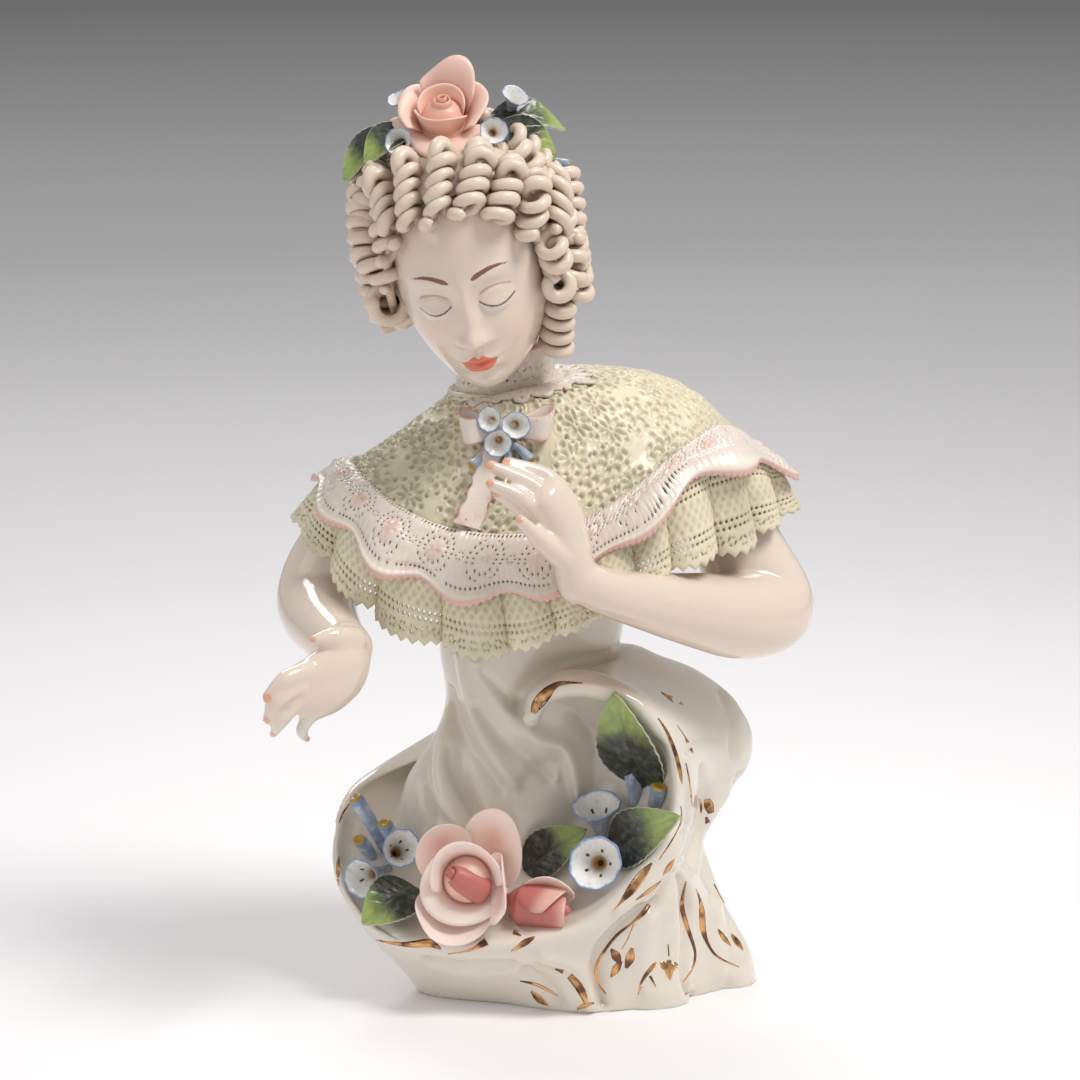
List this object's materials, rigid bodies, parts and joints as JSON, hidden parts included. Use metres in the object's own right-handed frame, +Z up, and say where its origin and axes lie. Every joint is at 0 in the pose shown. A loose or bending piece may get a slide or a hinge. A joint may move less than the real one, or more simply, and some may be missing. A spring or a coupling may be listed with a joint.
{
  "type": "porcelain figurine",
  "caption": "Half-length porcelain lady with ringlets, a lace cape and flowers, rising from a scrolled shell base.",
  "frame": {"origin": "point on the flat underside of the base, below the figure", "axes": "+Z up along the height, -Y towards the front of the figure, +X towards its left arm"},
  "size_m": [0.202, 0.1474, 0.3502],
  "materials": {
    "white_glaze": "clear glossy glaze over off-white porcelain, with painted gold marks",
    "hair_glaze": "pale beige satin glaze",
    "green_lace": "grey-green satin lace, raised pattern",
    "pink_lace": "off-white satin lace with pale pink edges",
    "rose_glaze": "soft peach-pink petals, satin",
    "leaf_glaze": "dark green leaves with yellow-green tips, satin",
    "blue_glaze": "white to pale blue flowers with ochre throats, satin"
  },
  "bodies": {
    "root": {"figure": "white_glaze", "hair_ringlets": "hair_glaze", "lace_cape": "green_lace", "lace_collar": "pink_lace", "green_lace_ruffle": "green_lace", "white_lace_trim": "pink_lace", "base_rose": "rose_glaze", "base_rosebud": "rose_glaze", "base_trumpet_1": "blue_glaze", "base_trumpet_2": "blue_glaze", "base_trumpet_3": "blue_glaze", "base_trumpet_4": "blue_glaze", "base_bud_1": "blue_glaze", "base_bud_2": "blue_glaze", "base_bud_3": "blue_glaze", "base_bud_4": "blue_glaze", "base_bud_5": "blue_glaze", "base_leaf_1": "leaf_glaze", "base_leaf_2": "leaf_glaze", "base_leaf_3": "leaf_glaze", "base_leaf_4": "leaf_glaze", "hair_rose": "rose_glaze", "hair_trumpet_1": "blue_glaze", "hair_trumpet_2": "blue_glaze", "hair_trumpet_3": "blue_glaze", "hair_trumpet_4": "blue_glaze", "hair_bud_1": "blue_glaze", "hair_leaf_1": "leaf_glaze", "hair_leaf_2": "leaf_glaze", "hair_leaf_3": "leaf_glaze", "hair_leaf_4": "leaf_glaze", "bow": "pink_lace", "bow_trumpet_1": "blue_glaze", "bow_trumpet_2": "blue_glaze", "bow_trumpet_3": "blue_glaze", "bow_bud_1": "blue_glaze", "bow_bud_2": "blue_glaze", "bow_bud_3": "blue_glaze"}
  },
  "joints": []
}
